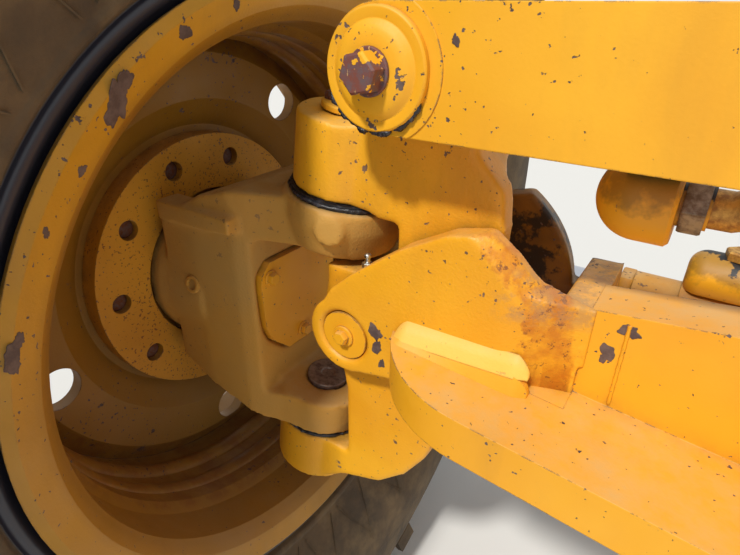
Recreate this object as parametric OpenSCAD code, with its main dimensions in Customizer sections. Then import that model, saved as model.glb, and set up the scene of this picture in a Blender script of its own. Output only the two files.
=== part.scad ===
// Front axle of a motor grader: rocking beam, leaning brackets, steered wheels.
// X runs along the axle, -Y is the front and +Z is up. The origin is the middle
// of the rocking pivot's bore, whose axis is Y. Right end pieces are drawn with
// +X pointing outboard, and the left end is their mirror image.
// Inside the modules the height zero is the wheels' own axis.

/* [Wheels] */
// Distance from the machine's middle to each wheel's middle plane
half_track = 1070; // [1040:5:1120]
// Height of the wheel axis against the pivot bore
wheel_z = -80; // [-100:5:-60]
// Radius of the tyre at the tips of its lugs
tyre_r = 682; // [660:1:700]
// Width of the tyre
tyre_w = 375; // [360:1:390]
// Height of the tread lugs
lug_h = 26; // [16:1:32]
// Lugs on each half of the tread
lug_count = 18; // [12:1:22]
// Outer radius of the rim's lips
rim_lip_r = 335; // [330:1:340]
// Radius of the rim under the tyre's beads
rim_seat_r = 305; // [302:1:308]
// Width of the rim over its lips
rim_w = 280; // [270:1:290]
// Wall of the rim and its disc
rim_t = 14; // [10:1:16]
// Bolt holes in the hub
hub_holes = 10; // [8:1:12]
// Radius of the circle of bolt holes
hub_hole_circle = 139; // [134:1:144]
// Diameter of a bolt hole
hub_hole_d = 23; // [18:1:26]
// Outer radius of the hub's flange
hub_r = 167; // [162:1:172]

/* [Kingpins] */
// Distance from the kingpin axis out to the wheel's middle plane, at wheel axis height
kingpin_inset = 158; // [154:1:162]
// Lean of the kingpin axis towards the middle, in degrees
kingpin_tilt = 8; // [6:0.5:9]
// Radius of the kingpins
kingpin_r = 25; // [20:1:30]
// Radius of the bosses around the kingpins
kingpin_boss_r = 56; // [50:1:58]
// Radius of the upper arm's end around the kingpin
arm_boss_r = 64; // [60:1:65]
// Height of the underside and the top of the knuckle's upper arm
knuckle_top = [91, 142];
// Height of the underside and the top of the knuckle's lower arm
knuckle_low = [-153, -106];

/* [Lean joint] */
// Distance of the lean pins inboard of the kingpin axis
lean_inset = 65; // [62:1:68]
// Height of the lean pins over the wheel axis
lean_h = 22; // [18:1:26]
// Radius of the lean pins
lean_pin_r = 25; // [22:1:28]
// Outer radius of the ears around the lean pins
ear_r = 40; // [36:1:44]
// Distance from the middle plane to the inner face of an ear
ear_in = 49; // [46:1:54]
// Thickness of an ear
ear_t = 24; // [18:1:30]

/* [Lean bar] */
// Distance of the lean bar's pins inboard of the kingpin axis
bar_inset = 113; // [104:1:122]
// Height of the lean bar's pins over the wheel axis
bar_h = 266; // [262:1:272]
// Height of the lean bar's section
bar_w = 84; // [76:1:90]
// Front face of the lean bar
bar_front = -92; // [-100:1:-88]
// Thickness of the lean bar
bar_t = 40; // [30:1:42]
// Radius of the lean bar's pins
bar_pin_r = 22; // [18:1:25]

/* [Beam] */
// Thickness of the upright web
web_t = 46; // [36:1:50]
// Front face of the upright web
web_front = -48; // [-48:1:-44]
// Height of the web's top at the middle of the machine
web_top_mid = 179; // [165:1:190]
// Height of the web's top beside a fork
web_top_end = 112; // [105:1:120]
// Height of the bottom flange's upper face at the middle
flange_top_mid = -19; // [-30:1:-10]
// Height of the bottom flange's upper face beside a fork
flange_top_end = 37; // [32:1:42]
// Thickness of the bottom flange
flange_t = 38; // [25:1:40]
// Front edge of the bottom flange
flange_front = -137; // [-145:1:-125]
// Distance from the lean pins in to the inner wall of a fork
fork_l = 207; // [200:1:215]
// Radius of the pivot bush's bore
pivot_r = 50; // [40:1:60]
// Outer radius of the pivot housing
housing_r = 118; // [105:1:125]
// Length of the pivot housing
housing_l = 190; // [170:2:200]

/* [Steering] */
// Distance behind the axle of the steering arms' ends
arm_y = 175; // [170:1:180]
// Distance of the steering balls inboard of the kingpin axis
ball_inset = 3; // [0:1:6]
// Radius of the balls on the steering arms
ball_r = 24; // [20:1:26]
// Distance of the tie rod's ends outboard of the kingpin axis
tie_out = 13; // [10:1:16]
// Height of the tie rod over the wheel axis
tie_h = -124; // [-130:1:-118]
// Radius of the tie rod
tie_r = 24; // [18:1:26]
// Radius of the tie rod's ball studs
tie_stud_r = 11; // [9:1:13]
// Radius of the steering cylinders
steer_barrel_r = 38; // [32:1:40]
// Radius of the steering cylinders' rods
steer_rod_r = 18; // [14:1:20]
// Distance from the middle to the steering cylinders' base pins
steer_base_x = 190; // [180:1:240]

/* [Lean cylinder] */
// Distance from the middle to the lean cylinder's base pin
lean_base_x = 170; // [150:1:200]
// Height of the lean cylinder's base pin
lean_base_h = 226; // [215:1:240]
// Radius of the lean cylinder
lean_barrel_r = 46; // [40:1:50]
// Radius of the lean cylinder's rod
lean_rod_r = 22; // [18:1:25]
// Middle plane of the lean cylinder
lean_cyl_y = 74; // [72:1:80]

/* [Hidden] */
$fn = 64;
running = 0.05;                       // radial clearance of a running fit
seat = 0.3;                           // gap between faces that slide past each other
clear = 5;                            // gap between parts that move past each other
paint = "#f2b632";
shade = "#d99a25";
steel = "#8d8f92";
rubber = "#2b2928";
kingpin_x = half_track - kingpin_inset;
lean_x = kingpin_x - lean_inset;
bar_x = kingpin_x - bar_inset;
fork_x = lean_x - fork_l;
ball_x = kingpin_x - ball_inset;
tie_x = kingpin_x + tie_out;
ear_out = ear_in + ear_t;
web_back = web_front + web_t;
flange_back = ear_out + 2;            // rear edge of the bottom flange
spindle_r = 47;
open_pin = 6;                         // radial clearance where the bar's loop is opened
tie_tilt = 1.47;                      // backward tilt of the tie rod's stud
lean_eye_w = 36;                      // width of the lean cylinder's eyes
swing_r = kingpin_boss_r + 6;         // room around the knuckle's bosses
rim_in = half_track - rim_w / 2;      // inboard plane of the rim's lip
hub_face = rim_in + 182;              // inboard face of the hub's flange
hub_flange_t = 25;
seal_r = 100;                         // opening in the hub around the knuckle's base
column_y = ear_in - clear;            // half width of the bracket between the ears

// Offset of the tilted kingpin axis from its place at wheel axis height
function kingpin_dx(h) = -h * tan(kingpin_tilt);
function flange_top(x) = flange_top_mid + (flange_top_end - flange_top_mid) * x / fork_x;

module at_wheel_height() translate([0, 0, wheel_z]) children();
module left_side() mirror([1, 0, 0]) children();
// Plate seen from the front, from y1 back to y2
module side_plate(y1, y2) translate([0, y2, 0]) rotate([90, 0, 0]) linear_extrude(y2 - y1) children();
// Round bar along Y
module y_bar(x, h, r, y1, y2) translate([x, y1, h]) rotate([-90, 0, 0]) cylinder(h = y2 - y1, r = r);
// Body turned about the wheel axis, its outline given as [x, radius]
module wheel_turned(outline) rotate([90, 0, 90]) rotate_extrude($fn = 96)
    polygon([for (p = outline) [p[1], p[0]]]);
module on_kingpin() translate([kingpin_x, 0, 0]) rotate([0, -kingpin_tilt, 0]) children();
module kingpin_disc(r, low, high) on_kingpin() translate([0, 0, low]) cylinder(h = high - low, r = r);

// Beam between the forks: upright web, tapered bottom flange, pivot housing
module flange_plan() {
    tip_r = 97;
    tip_x = fork_x + 60;
    for (s = [-1, 1]) scale([s, 1]) {
        translate([0, flange_front]) square([fork_x, flange_back - flange_front]);
        difference() {
            union() {
                translate([fork_x - 1, flange_front]) square([tip_x - fork_x + 1, -ear_out - flange_front]);
                translate([tip_x, flange_front + tip_r]) circle(tip_r);
            }
            translate([fork_x - 2, -ear_out]) square([tip_r * 3, tip_r * 3]);
        }
    }
}
module half_profile(top_mid, top_end, bottom_mid, bottom_end, length)
    polygon([[-0.01, top_mid], [length, top_end], [length, bottom_end], [-0.01, bottom_mid]]);
module axle_beam() color(paint) at_wheel_height() difference() {
    flange_end = fork_x + 170;
    union() {
        intersection() {
            side_plate(flange_front - 10, flange_back + 10) for (s = [-1, 1]) scale([s, 1])
                half_profile(flange_top_mid, flange_top(flange_end), flange_top_mid - flange_t,
                    flange_top(flange_end) - flange_t, flange_end);
            translate([0, 0, -200]) linear_extrude(400) flange_plan();
        }
        side_plate(web_front, web_back) for (s = [-1, 1]) scale([s, 1])
            half_profile(web_top_mid, web_top_end, flange_top_mid - 1, flange_top_end - 1, fork_x);
        y_bar(0, -wheel_z, housing_r, -housing_l / 2, housing_l / 2);
        for (s = [-1, 1]) scale([s, 1, 1]) beam_gussets();
        for (s = [-1, 1]) scale([s, 1, 1]) steer_cylinder_lugs();
        lean_cylinder_lug();
    }
    y_bar(0, -wheel_z, pivot_r + 12, -housing_l, housing_l);
    for (s = [-1, 1]) scale([s, 1, 1])
        translate([steer_base_x, arm_y, -100]) cylinder(h = 300, r = 16 + running);
    y_bar(lean_base_x, lean_base_h, bar_pin_r + running, -200, 200);
}
module beam_gussets() for (g = [[150, 1], [420, 0.6]]) translate([g[0], 0, 0])
    rotate([90, 0, 90]) linear_extrude(16) polygon([[web_front + 1, flange_top(g[0]) - 1],
        [flange_front + 20, flange_top(g[0]) - 1], [web_front + 1, flange_top(g[0]) + 130 * g[1]]]);
module steer_cylinder_lugs() for (low = [lean_h - 48, lean_h + 30]) translate([0, 0, low])
    linear_extrude(18) union() {
        translate([steer_base_x - 34, web_back - 1]) square([68, arm_y - web_back + 1]);
        translate([steer_base_x, arm_y]) circle(34);
    }
module lean_cylinder_lug() side_plate(web_front + 8, lean_cyl_y - lean_eye_w / 2 - clear) union() {
    translate([lean_base_x, lean_base_h]) circle(42);
    polygon([[lean_base_x - 42, lean_base_h], [lean_base_x + 42, lean_base_h],
        [lean_base_x + 70, 140], [lean_base_x - 70, 140]]);
}
module pivot_bush() color(steel) rotate([90, 0, 0]) difference() {
    cylinder(h = housing_l + 4, r = pivot_r + 12, center = true);
    cylinder(h = housing_l + 10, r = pivot_r, center = true);
}

// Fork: two humped ears around the lean pin, joined by a wall to the web
module ear_outline() union() {
    translate([lean_x, lean_h]) circle(ear_r);
    polygon([[lean_x + 33, lean_h + 17], [lean_x + 15, lean_h + 47], [lean_x - 10, lean_h + 70],
        [lean_x - 60, lean_h + 107], [lean_x - 100, lean_h + 129], [lean_x - 130, lean_h + 136],
        [lean_x - 152, lean_h + 120],
        [lean_x - 175, lean_h + 97], [fork_x, web_top_end], [fork_x, flange_top_end - flange_t],
        [lean_x - 90, lean_h - 20], [lean_x, lean_h - ear_r]]);
}
hump_x = lean_x - 57;                 // middle of the humps' round inboard face
hump_h = lean_h + 38;
wall_top = 78;                        // height of the wall between the ears
module hump(face_r, back_r) intersection() {
    side_plate(-ear_out, -ear_in) ear_outline();
    union() {
        y_bar(lean_x, lean_h, ear_r, -ear_out, -ear_in);
        side_plate(-ear_out, -ear_in) polygon([[lean_x + 40, lean_h - 40], [lean_x + 40, lean_h + 60],
            [hump_x, lean_h + 150], [hump_x, lean_h - 60]]);
        translate([hump_x, -ear_out, hump_h]) rotate([-90, 0, 0])
            cylinder(h = ear_t + 1, r1 = face_r, r2 = back_r, $fn = 96);
        side_plate(-ear_out, -ear_in) translate([fork_x, -200]) square([hump_x - fork_x, 200 + wall_top]);
    }
}
module fork() difference() {
    union() {
        hump(113, 139);
        mirror([0, 1, 0]) hump(114, 118);
        side_plate(-ear_in - 1, ear_in + 1) intersection() {
            ear_outline();
            translate([fork_x, -100]) square([22, 100 + wall_top]);
        }
    }
    y_bar(lean_x, lean_h, lean_pin_r + running, -100, 100);
    y_bar(lean_x, lean_h, lean_pin_r + 3.5, -ear_out - 1, -ear_out + 4);
}
module left_fork() color(paint) at_wheel_height() left_side() fork();
module right_fork() color(paint) at_wheel_height() fork();
module lean_pin() y_bar(lean_x, lean_h, lean_pin_r, -ear_out + 2, ear_out);
module left_lean_pin() color(steel) at_wheel_height() left_side() lean_pin();
module right_lean_pin() color(steel) at_wheel_height() lean_pin();

slot_x = -104;                        // inboard end of the upper arm's slot, from the kingpin
column_x = -24;                       // outboard face of the column between the arms
column_top = 78;
// Lean bracket: column between the ears, a lug for the bar, two kingpin bosses
module bracket_outline() union() {
    translate([kingpin_x, 0]) polygon([[kingpin_dx(185), knuckle_top[1] - clear], [kingpin_dx(185), 219],
        [-67, 219], [40 - bar_inset, bar_h], [-40 - bar_inset, bar_h], [-171, 208], [-194, 183],
        [-198, 152], [-196, 20], [-179, -30], [-158, -85], [-146, -120], [-123, -157], [-91, -188],
        [-40, -208], [-7, -231], [kingpin_dx(-231), -231], [kingpin_dx(-158), knuckle_low[0] - clear],
        [-46, knuckle_low[0] - clear - 8], [-46, -70], [30 - lean_inset, lean_h - 36],
        [45 - lean_inset, lean_h + 20], [column_x, lean_h + 36], [column_x, column_top],
        [slot_x, column_top], [slot_x, knuckle_top[1] - clear]]);
    translate([lean_x, lean_h]) circle(46);
    translate([bar_x, bar_h]) circle(40);
}
module bracket() difference() {
    union() {
        side_plate(-column_y, column_y) bracket_outline();
        kingpin_disc(kingpin_boss_r, knuckle_top[1] + clear + 2, 221);
        kingpin_disc(kingpin_boss_r, -235, knuckle_low[0] - clear - 3);
    }
    translate([kingpin_x, 0, -240]) linear_extrude(440) polygon([[-187, -20], [-159, column_y + 1],
        [-260, column_y + 1], [-260, -20]]);
    kingpin_disc(arm_boss_r + 10, knuckle_top[0] - clear, knuckle_top[1] + clear + 2);
    kingpin_disc(swing_r, knuckle_low[0] - clear - 3, knuckle_low[1] + clear);
    y_bar(lean_x, lean_h, lean_pin_r + running, -100, 100);
    y_bar(bar_x, bar_h, bar_pin_r, -100, 100);
    kingpin_disc(kingpin_r, -300, 300);
}
module left_bracket() color(paint) at_wheel_height() left_side() bracket();
module right_bracket() color(paint) at_wheel_height() bracket();
module kingpins() {
    kingpin_disc(kingpin_r, knuckle_top[0] - 1, 224);
    kingpin_disc(kingpin_r, -238, knuckle_low[1] + 1);
}
module left_kingpins() color(steel) at_wheel_height() left_side() kingpins();
module right_kingpins() color(steel) at_wheel_height() kingpins();

// Lean bar and its pins, each with a stepped round cap on the front
module bar_pin() {
    y_bar(bar_x, bar_h, bar_pin_r, bar_front - 2, column_y);
    y_bar(bar_x, bar_h, 40, bar_front - 6, bar_front - seat);
    y_bar(bar_x, bar_h, 31, bar_front - 11, bar_front - 5);
}
module left_bar_pin() color(paint) at_wheel_height() left_side() bar_pin();
module right_bar_pin() color(paint) at_wheel_height() bar_pin();
module lean_bar() color(paint) at_wheel_height() difference() {
    union() {
        side_plate(bar_front, bar_front + bar_t)
            translate([-bar_x, bar_h - bar_w / 2]) square([2 * bar_x, bar_w]);
        for (s = [-1, 1]) y_bar(s * bar_x, bar_h, bar_w / 2, bar_front, bar_front + bar_t);
    }
    y_bar(-bar_x, bar_h, bar_pin_r + running, -200, 200);
    y_bar(bar_x, bar_h, bar_pin_r + open_pin, -200, 200);
}
// Lock valve hung behind the bar on a short plate, with a domed outboard end
module lean_lock_valve() color(shade) at_wheel_height() left_side() {
    valve_r = 30;
    valve_h = bar_h - bar_w / 2 - valve_r - 2;
    valve_y = -22;
    dome_x = bar_x - 171;
    bar_back = bar_front + bar_t;
    translate([dome_x, valve_y, valve_h]) rotate([0, 90, 0]) rotate_extrude()
        polygon([[0, -22], [valve_r, -22], for (a = [0:15:75]) [valve_r * cos(a), valve_r * sin(a)],
            [0, valve_r]]);
    translate([dome_x - 40, valve_y, valve_h]) rotate([0, 90, 0]) cylinder(h = 19, r = 17, $fn = 6);
    translate([dome_x - 22, bar_back, valve_h - 6]) cube([34, valve_y - bar_back, 12]);
    translate([dome_x - 22, bar_back, valve_h - 6]) cube([34, 10, valve_r + 60]);
}

// Lean cylinder behind the bar, from the beam to the right bracket's lug
lean_dx = bar_x - lean_base_x;
lean_dh = bar_h - lean_base_h;
lean_len = sqrt(lean_dx * lean_dx + lean_dh * lean_dh);
lean_neck = 75;                       // from the base pin to the barrel's end
lean_gland = lean_len - 150;          // from the base pin to the gland's face
lean_bore_r = lean_barrel_r - 10;
module along_lean_cylinder(from) translate([lean_base_x, lean_cyl_y, lean_base_h])
    rotate([0, -atan(lean_dh / lean_dx), 0]) translate([from, 0, 0]) rotate([0, 90, 0]) children();
module lean_barrel() color(paint) at_wheel_height() difference() {
    union() {
        along_lean_cylinder(0) cylinder(h = lean_neck + 10, r = lean_eye_w / 2 - 1);
        y_bar(lean_base_x, lean_base_h, 42, lean_cyl_y - lean_eye_w / 2, lean_cyl_y + lean_eye_w / 2);
        y_bar(lean_base_x, lean_base_h, bar_pin_r, web_front + 8, lean_cyl_y);
        along_lean_cylinder(lean_neck) cylinder(h = lean_gland - 32 - lean_neck, r = lean_barrel_r);
        along_lean_cylinder(lean_gland - 33) cylinder(h = 33, r = lean_barrel_r - 8);
    }
    along_lean_cylinder(lean_neck + 12) cylinder(h = lean_len, r = lean_rod_r + running);
    along_lean_cylinder(lean_neck + 12) cylinder(h = lean_gland - 45 - lean_neck - 12, r = lean_bore_r);
}
module lean_rod() color(steel) at_wheel_height() {
    piston = lean_len - 340;
    y_bar(bar_x, bar_h, 38, lean_cyl_y - lean_eye_w / 2, lean_cyl_y + lean_eye_w / 2);
    along_lean_cylinder(piston) cylinder(h = lean_len - 30 - piston, r = lean_rod_r);
    along_lean_cylinder(piston) cylinder(h = 30, r = lean_bore_r - running);
    y_bar(bar_x, bar_h, bar_pin_r, column_y + seat, lean_cyl_y + lean_eye_w / 2 + 8);
}

// Steering cylinders: barrels pinned to the beam, rods with open hooked eyes
gland_x = ball_x - 275;
module steer_barrel() difference() {
    union() {
        translate([steer_base_x, arm_y, lean_h - 28]) cylinder(h = 56, r = 33);
        translate([steer_base_x, arm_y, lean_h - 50]) cylinder(h = 100, r = 16);
        translate([steer_base_x + 20, arm_y, lean_h]) rotate([0, 90, 0]) cylinder(h = 30, r = 24);
        translate([steer_base_x + 40, arm_y, lean_h]) rotate([0, 90, 0])
            cylinder(h = gland_x - 84 - steer_base_x, r = steer_barrel_r);
        translate([gland_x - 45, arm_y, lean_h]) rotate([0, 90, 0]) cylinder(h = 45, r = steer_barrel_r - 9);
    }
    translate([steer_base_x + 52, arm_y, lean_h]) rotate([0, 90, 0])
        cylinder(h = gland_x - 97 - steer_base_x, r = steer_barrel_r - 7);
    translate([steer_base_x + 52, arm_y, lean_h]) rotate([0, 90, 0])
        cylinder(h = 600, r = steer_rod_r + running);
}
module left_steer_barrel() color(paint) at_wheel_height() left_side() steer_barrel();
module right_steer_barrel() color(paint) at_wheel_height() steer_barrel();
module steer_rod() {
    jaw_in = ball_r + 10;
    rod_start = gland_x - 200;
    translate([0, 0, lean_h - 14]) linear_extrude(28) difference() {
        union() {
            translate([ball_x, arm_y]) circle(jaw_in + 14);
            translate([ball_x - jaw_in - 26, arm_y - 20]) square([26, 40]);
        }
        translate([ball_x, arm_y]) circle(jaw_in);
        translate([ball_x - jaw_in - 2, arm_y - 60]) square([200, 62]);
        translate([ball_x + 14, arm_y]) square(60);
    }
    translate([rod_start, arm_y, lean_h]) rotate([0, 90, 0])
        cylinder(h = ball_x - jaw_in - 20 - rod_start, r = steer_rod_r);
    translate([rod_start, arm_y, lean_h]) rotate([0, 90, 0])
        cylinder(h = 25, r = steer_barrel_r - 7 - running);
}
module left_steer_rod() color(steel) at_wheel_height() left_side() steer_rod();
module right_steer_rod() color(steel) at_wheel_height() steer_rod();

// Knuckle: round base, two arms to the kingpins, steering arm to the rear
inner_wall = 56;                      // inboard face between the arms, from the kingpin
arm_slope = 30;                       // height of the slope under the upper arm's end
cover_t = 11;
cover_sunk = 7;                       // depth of the pocket that the cover lies in
arm_low = -84;
arm_top = -54;
module knuckle_side() polygon([[182, 92], [148, 112], [114, 131], [73, 142], [-17, 142], [-17, 91],
    [inner_wall, 91], [inner_wall, -106], [13, -106], [13, -152], [56, -147], [128, -120], [182, -92]]);
module knuckle_plan() polygon([[188, -84], [128, -84], [73, -78], [36, -62], [-7, -50], [-22, 0],
    [-7, 50], [36, 62], [73, 78], [128, 84], [188, 84]]);
module steering_arm() translate([0, 0, arm_low]) linear_extrude(arm_top - arm_low) union() {
    translate([kingpin_x, 0]) polygon([[138, 60], [133, 95], [78, 160], [23, 198], [-7, 200], [-20, 165],
        [8, 148], [48, 110], [53, 60]]);
    translate([ball_x, arm_y]) circle(28);
    translate([tie_x, arm_y]) circle(30);
}
module knuckle(tie_hole_r) difference() {
    union() {
        translate([kingpin_x, 0, 0]) intersection() {
            side_plate(-100, 100) knuckle_side();
            translate([0, 0, -200]) linear_extrude(400) knuckle_plan();
        }
        on_kingpin() translate([0, 0, knuckle_top[0] + 1])
            cylinder(h = arm_slope, r1 = kingpin_boss_r, r2 = arm_boss_r);
        kingpin_disc(arm_boss_r, knuckle_top[0] + arm_slope, knuckle_top[1] + 1);
        kingpin_disc(kingpin_boss_r, knuckle_low[0] - 2, knuckle_low[1] - 1);
        wheel_turned([[kingpin_x + 128, 0], [kingpin_x + 128, 88], [kingpin_x + 182, 92],
            [hub_face - 8, 95], [hub_face + 10, 95], [hub_face + 10, 0]]);
        wheel_turned([[hub_face, 0], [hub_face, spindle_r], [hub_face + 102, spindle_r],
            [hub_face + 102, 36], [hub_face + 122, 36], [hub_face + 122, 0]]);
        steering_arm();
    }
    kingpin_disc(kingpin_r + running, -300, 300);
    translate([kingpin_x + inner_wall - 10, 0, 0]) rotate([90, 0, 90]) linear_extrude(10 + cover_sunk)
        scale(1.04) cover_outline();
    tie_stud(tie_hole_r, 0, 200);
}
// Round bar on the tie rod's ball and along the axis it turns on
module tie_stud(r, low, high) translate([tie_x, arm_y, tie_h]) rotate([tie_tilt, -kingpin_tilt, 0])
    translate([0, 0, low]) cylinder(h = high - low, r = r);
module left_knuckle() color(paint) at_wheel_height() left_side() knuckle(tie_stud_r + running);
module right_knuckle() color(paint) at_wheel_height() knuckle(tie_stud_r);
module cover_outline() polygon([[-63, 34], [-60, 46], [-48, 58], [48, 58], [60, 46], [63, 34], [60, -20],
    [52, -40], [26, -64], [-26, -64], [-52, -40], [-60, -20]]);
module knuckle_cover() translate([kingpin_x + inner_wall + cover_sunk - cover_t, 0, 0])
    rotate([90, 0, 90]) linear_extrude(cover_t) cover_outline();
module left_knuckle_cover() color(paint) at_wheel_height() left_side() knuckle_cover();
module right_knuckle_cover() color(paint) at_wheel_height() knuckle_cover();
// Ball post for the steering cylinder, and on the right the tie rod's stud
module steer_ball(with_stud) {
    translate([ball_x, arm_y, arm_top]) cylinder(h = lean_h - arm_top, r = 14);
    translate([ball_x, arm_y, lean_h]) sphere(ball_r);
    if (with_stud) tie_stud(tie_stud_r, tie_cup_top + 18, arm_top - tie_h + 6);
}
module left_steer_ball() color(steel) at_wheel_height() left_side() steer_ball(false);
module right_steer_ball() color(steel) at_wheel_height() steer_ball(true);

// Tie rod under the steering arms, with a ball housing at each end
tie_ball_r = 22;
tie_cup_top = 6;                      // height of the cup's rim over the ball's centre
module tie_cup() translate([tie_x, arm_y, tie_h - 32]) cylinder(h = 32 + tie_cup_top, r = 36);
module left_tie_ball() color(steel) at_wheel_height() left_side() {
    translate([tie_x, arm_y, tie_h]) sphere(tie_ball_r);
    tie_stud(tie_stud_r, 0, arm_top - tie_h - 6);
}
module tie_rod() color(paint) at_wheel_height() difference() {
    union() {
        translate([30 - tie_x, arm_y, tie_h - 6]) rotate([0, 90, 0]) cylinder(h = 2 * tie_x - 60, r = 17);
        translate([130 - tie_x, arm_y, tie_h - 6]) rotate([0, 90, 0])
            cylinder(h = 2 * tie_x - 260, r = tie_r);
        tie_cup();
        left_side() tie_cup();
    }
    translate([-tie_x, arm_y, tie_h]) sphere(tie_ball_r + seat);
}

// Hub: flange with open bolt holes, barrel through the disc, cap
module hub() difference() {
    flange_out = hub_face + hub_flange_t;
    wheel_turned([[hub_face, seal_r], [hub_face, hub_r], [flange_out, hub_r], [flange_out, 106],
        [hub_face + 62, 104], [hub_face + 74, 84], [hub_face + 106, 80], [hub_face + 112, 72],
        [hub_face + 136, 72], [hub_face + 142, 62], [hub_face + 142, 0], [hub_face + 134, 0],
        [hub_face + 134, 58], [hub_face + 104, 58], [hub_face + 104, spindle_r + running],
        [hub_face + 16, spindle_r + running], [hub_face + 16, seal_r]]);
    for (i = [0:hub_holes - 1]) rotate([i * 360 / hub_holes, 0, 0])
        translate([hub_face - 1, -hub_hole_circle, 0]) rotate([0, 90, 0]) cylinder(h = 40, d = hub_hole_d);
}
module left_hub() color(paint) at_wheel_height() left_side() hub();
module right_hub() color(paint) at_wheel_height() hub();

// Rim with stepped barrel, lips and a dished disc with hand holes
module rim() difference() {
    x0 = rim_in;
    x1 = rim_in + rim_w;
    disc_x = hub_face + hub_flange_t;
    union() {
        wheel_turned([[x0, rim_lip_r - 8], [x0 + 4, rim_lip_r], [x0 + 12, rim_lip_r - 2],
            [x0 + 16, rim_seat_r + 10], [x0 + 22, rim_seat_r], [x0 + 62, rim_seat_r - 3],
            [x0 + 78, rim_seat_r - 10], [x0 + 200, rim_seat_r - 10], [x1 - 62, rim_seat_r - 3],
            [x1 - 22, rim_seat_r], [x1 - 16, rim_seat_r + 10], [x1 - 12, rim_lip_r - 2],
            [x1 - 4, rim_lip_r], [x1, rim_lip_r - 8], [x1 - 6, rim_seat_r], [x1 - 22, rim_seat_r - rim_t],
            [x1 - 62, rim_seat_r - rim_t - 3], [x0 + 200, rim_seat_r - 10 - rim_t],
            [x0 + 84, rim_seat_r - 10 - rim_t], [x0 + 70, rim_seat_r - rim_t - 2],
            [x0 + 24, rim_seat_r - rim_t + 1], [x0 + 8, rim_seat_r]]);
        wheel_turned([[disc_x, 107], [disc_x, hub_r + 8], [disc_x - 22, hub_r + 40], [disc_x - 24, 258],
            [disc_x - 8, rim_seat_r - 20], [disc_x + 8, rim_seat_r - 20], [disc_x - 8, 258],
            [disc_x - 6, hub_r + 44], [disc_x + 16, hub_r + 12], [disc_x + 16, 107]]);
    }
    for (i = [0:hub_holes - 1]) rotate([i * 360 / hub_holes, 0, 0])
        translate([disc_x - 5, -hub_hole_circle, 0]) rotate([0, 90, 0]) cylinder(h = 40, d = hub_hole_d);
    for (i = [0:4]) rotate([16 + i * 72, 0, 0])
        translate([disc_x - 60, -236, 0]) rotate([0, 90, 0]) cylinder(h = 100, r = 24);
}
module left_rim() color(paint) at_wheel_height() left_side() rim();
module right_rim() color(paint) at_wheel_height() rim();

// Tyre: open carcass on the rim, and slanted lugs that meet at the crown
tyre_flats = 42;
module tyre() {
    w = tyre_w / 2;
    tread = tyre_r - lug_h;
    bead = (rim_seat_r + seat) / cos(180 / tyre_flats);
    // Half of the section, each point [offset from the middle plane, radius]
    outer = [[92, bead], [116, bead], [124, rim_lip_r], [w, 460], [w, 530], [w - 22, tread - 20],
        [w - 95, tread - 2]];
    inner = [[w - 40, 450], [w - 62, tread - 52]];
    last = len(outer) - 1;
    section = concat(outer, [for (i = [0:last]) [-outer[last - i][0], outer[last - i][1]]],
        [for (p = inner) [-p[0], p[1]]], [inner[1], inner[0]]);
    n = len(section);
    translate([half_track, 0, 0]) union() {
        polyhedron([for (i = [0:tyre_flats - 1], p = section) let (a = i * 360 / tyre_flats)
            [p[0], p[1] * cos(a), p[1] * sin(a)]],
            [for (i = [0:tyre_flats - 1], j = [0:n - 1])
                let (next = (i + 1) % tyre_flats * n, k = (j + 1) % n)
                [i * n + j, next + j, next + k, i * n + k]]);
        for (half = [0, 1], i = [0:lug_count - 1]) rotate([(i + half / 2) * 360 / lug_count, 0, 0])
            scale([half * 2 - 1, 1, 1]) lug(w, tread);
    }
}
// Lug on the far half: a slanted block whose outline from behind falls off at the shoulder
module lug(w, tread) intersection() {
    linear_extrude(tyre_r + 10) polygon([[-12, -22], [8, -46], [w, 20], [w, 62], [-12, 2]]);
    side_plate(-100, 100) polygon([[-20, tread - 30], [-20, tyre_r], [w - 80, tyre_r - 5],
        [w - 26, tyre_r - 18], [w - 7, tyre_r - 52], [w - 16, tread - 62], [w - 60, tread - 30]]);
}
module left_tyre() color(rubber) at_wheel_height() left_side() tyre();
module right_tyre() color(rubber) at_wheel_height() tyre();

axle_beam();
pivot_bush();
left_fork();
right_fork();
left_lean_pin();
right_lean_pin();
left_steer_barrel();
right_steer_barrel();
left_bracket();
right_bracket();
left_kingpins();
right_kingpins();
left_bar_pin();
right_bar_pin();
lean_bar();
lean_lock_valve();
lean_barrel();
lean_rod();
left_knuckle();
right_knuckle();
left_knuckle_cover();
right_knuckle_cover();
left_steer_ball();
right_steer_ball();
left_hub();
right_hub();
left_rim();
right_rim();
left_tyre();
right_tyre();
left_tie_ball();
tie_rod();
left_steer_rod();
right_steer_rod();
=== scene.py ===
"""Front axle of a motor grader: paint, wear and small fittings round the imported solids.

Lengths are in millimetres and heights are over the wheel axis, as in the part's source. at() turns
them into metres in the row frame. Side -1 is the left end, which the photograph shows, and 1 the right.
"""
import math
import random

import bmesh
import bpy
import numpy as np
from mathutils import Matrix, Vector


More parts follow.
